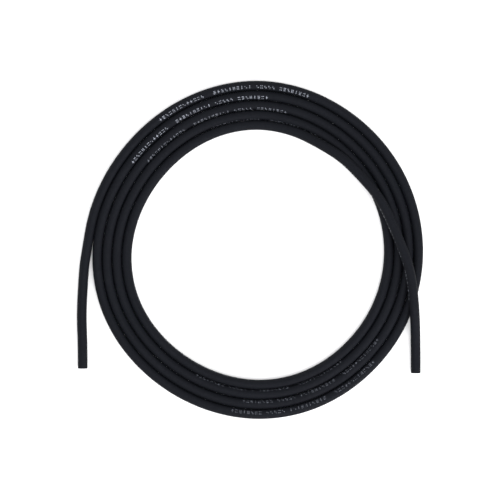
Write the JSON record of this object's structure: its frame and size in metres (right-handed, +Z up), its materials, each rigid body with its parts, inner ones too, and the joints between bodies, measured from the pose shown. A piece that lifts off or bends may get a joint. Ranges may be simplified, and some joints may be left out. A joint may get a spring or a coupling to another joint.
{
  "type": "instrument cable",
  "caption": "Black screened instrument cable with plain cut ends, wound into a flat coil with both tails pointing the same way.",
  "frame": {"origin": "bottom centre of the cable's box, on the surface that the coil lies on", "axes": "+Z up out of the coil; both cut ends point along -Y; +X to the right with the cut ends towards the viewer"},
  "size_m": [0.2343, 0.2288, 0.0136],
  "materials": {
    "jacket": "matte",
    "copper": "satin",
    "conductive_plastic": "matte",
    "insulation": "satin",
    "print_ink": "matte"
  },
  "bodies": {
    "root": {"jacket": "jacket", "copper_screen": "copper", "conductive_layer": "conductive_plastic", "core_insulation": "insulation", "core_strand_01": "copper", "core_strand_02": "copper", "core_strand_03": "copper", "core_strand_04": "copper", "core_strand_05": "copper", "core_strand_06": "copper", "core_strand_07": "copper", "core_strand_08": "copper", "core_strand_09": "copper", "core_strand_10": "copper", "core_strand_11": "copper", "core_strand_12": "copper", "core_strand_13": "copper", "core_strand_14": "copper", "core_strand_15": "copper", "core_strand_16": "copper", "core_strand_17": "copper", "core_strand_18": "copper", "core_strand_19": "copper"}
  },
  "joints": []
}
